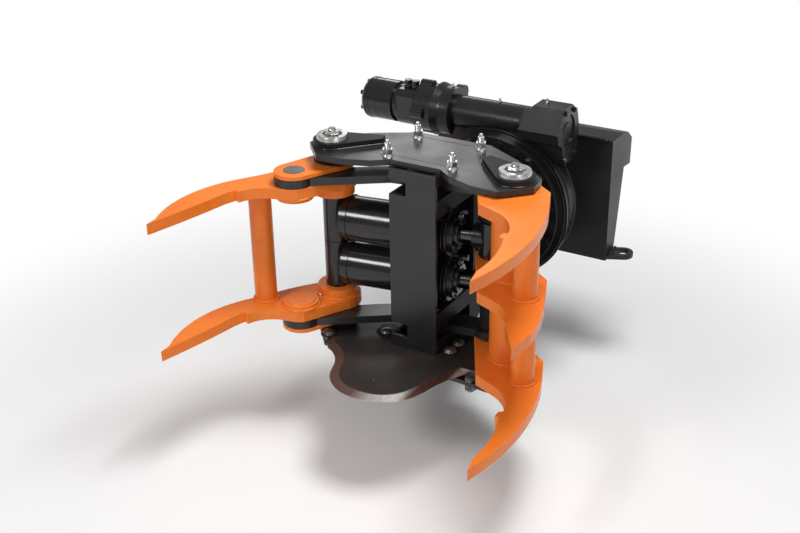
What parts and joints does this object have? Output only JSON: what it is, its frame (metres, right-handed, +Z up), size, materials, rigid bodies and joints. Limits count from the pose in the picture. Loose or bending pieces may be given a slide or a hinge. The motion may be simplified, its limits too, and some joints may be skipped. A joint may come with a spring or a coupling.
{
  "type": "excavator tree shear",
  "caption": "Tree shear with a lobed fixed blade, two linked grab arms closed by two cylinders, a slewing drive with hydraulic motor and a loader-type hitch bracket.",
  "frame": {"origin": "on the slewing axis, at the rear face of the hitch bracket's front plate", "axes": "+X to the three-plate arm, +Y to the carrier, along the slewing axis, +Z up"},
  "size_m": [0.9226, 1.233, 0.6142],
  "materials": {
    "black_paint": "glossy",
    "orange_paint": "glossy",
    "zinc": "zinc plated",
    "pin_steel": "turned",
    "rod_chrome": "polished",
    "blade_steel": "mill scale with a ground edge"
  },
  "bodies": {
    "mounting": {"hitch_bracket": "black_paint", "hitch_ears": "black_paint", "adapter_plate": "black_paint", "slew_housing": "black_paint", "worm_shaft": "pin_steel", "worm_end_cover": "black_paint", "worm_cover_bolts": "black_paint", "bell_housing": "black_paint", "drive_motor": "black_paint", "motor_end_cover": "black_paint", "motor_bolts": "black_paint", "port_fittings": "black_paint", "drive_grease_nipples": "zinc"},
    "head": {"slew_ring": "black_paint", "ring_bolts": "black_paint", "head_flange": "black_paint", "side_plates": "black_paint", "neck_sheets": "black_paint", "front_sheet": "black_paint", "top_plate": "black_paint", "pin_pads": "black_paint", "base_plate": "black_paint", "blade": "blade_steel", "blade_bolts": "black_paint", "top_studs": "zinc", "top_nuts": "zinc", "left_pivot_pin": "pin_steel", "right_pivot_pin": "pin_steel", "pin_discs": "zinc", "pin_nuts": "zinc", "head_spacers": "black_paint"},
    "right_arm": {"right_top_finger": "orange_paint", "right_middle_finger": "orange_paint", "right_bottom_finger": "orange_paint", "right_hub_tubes": "orange_paint", "right_tubes": "orange_paint", "right_crank_pin": "pin_steel", "crank_spacers": "black_paint"},
    "left_arm": {"left_upper_finger": "orange_paint", "left_lower_finger": "orange_paint", "left_tube": "orange_paint", "left_forks": "orange_paint", "left_bosses": "orange_paint", "left_link_pins": "pin_steel", "left_grease_nipple": "zinc"},
    "timing_links": {"upper_link": "black_paint", "lower_link": "black_paint"},
    "upper_barrel_body": {"upper_barrel": "black_paint", "upper_gland": "black_paint"},
    "upper_rod_body": {"upper_rod": "rod_chrome", "upper_rod_eye": "black_paint"},
    "lower_barrel_body": {"lower_barrel": "black_paint", "lower_gland": "black_paint"},
    "lower_rod_body": {"lower_rod": "rod_chrome", "lower_rod_eye": "black_paint"}
  },
  "joints": [
    {"name": "head_slew", "type": "hinge", "parent": "mounting", "child": "head", "pos_m": [0, 0, 0], "axis": [0, 1, 0], "range_deg": [-180, 180]},
    {"name": "right_arm_close", "type": "hinge", "parent": "head", "child": "right_arm", "pos_m": [0.26, -0.6, 0], "axis": [0, 0, -1], "range_deg": [0, 50]},
    {"name": "left_arm_close", "type": "hinge", "parent": "head", "child": "left_arm", "pos_m": [-0.26, -0.6, 0], "axis": [0, 0, 1], "range_deg": [0, 52]},
    {"name": "link_swing", "type": "hinge", "parent": "left_arm", "child": "timing_links", "pos_m": [-0.3065, -0.71062, 0], "axis": [0, 0, -1], "range_deg": [0, 45.7]},
    {"name": "upper_barrel_swing", "type": "hinge", "parent": "head", "child": "upper_barrel_body", "pos_m": [-0.26, -0.6, 0.065], "axis": [0, 0, 1], "range_deg": [0, 3.9]},
    {"name": "upper_rod_slide", "type": "slide", "parent": "upper_barrel_body", "child": "upper_rod_body", "axis": [0.9846, 0.1749, 0], "range_m": [0, 0.0961]},
    {"name": "lower_barrel_swing", "type": "hinge", "parent": "head", "child": "lower_barrel_body", "pos_m": [-0.26, -0.6, -0.065], "axis": [0, 0, 1], "range_deg": [0, 3.9]},
    {"name": "lower_rod_slide", "type": "slide", "parent": "lower_barrel_body", "child": "lower_rod_body", "axis": [0.9846, 0.1749, 0], "range_m": [0, 0.0961]}
  ],
  "couplings": [
    {"joint": "left_arm_close", "follows": "right_arm_close", "ratio": 1.04},
    {"joint": "link_swing", "follows": "right_arm_close", "ratio": 0.9135},
    {"joint": "upper_barrel_swing", "follows": "right_arm_close", "ratio": 0.0776},
    {"joint": "upper_rod_slide", "follows": "right_arm_close", "m_per_rad": 0.11},
    {"joint": "lower_barrel_swing", "follows": "right_arm_close", "ratio": 0.0776},
    {"joint": "lower_rod_slide", "follows": "right_arm_close", "m_per_rad": 0.11}
  ]
}
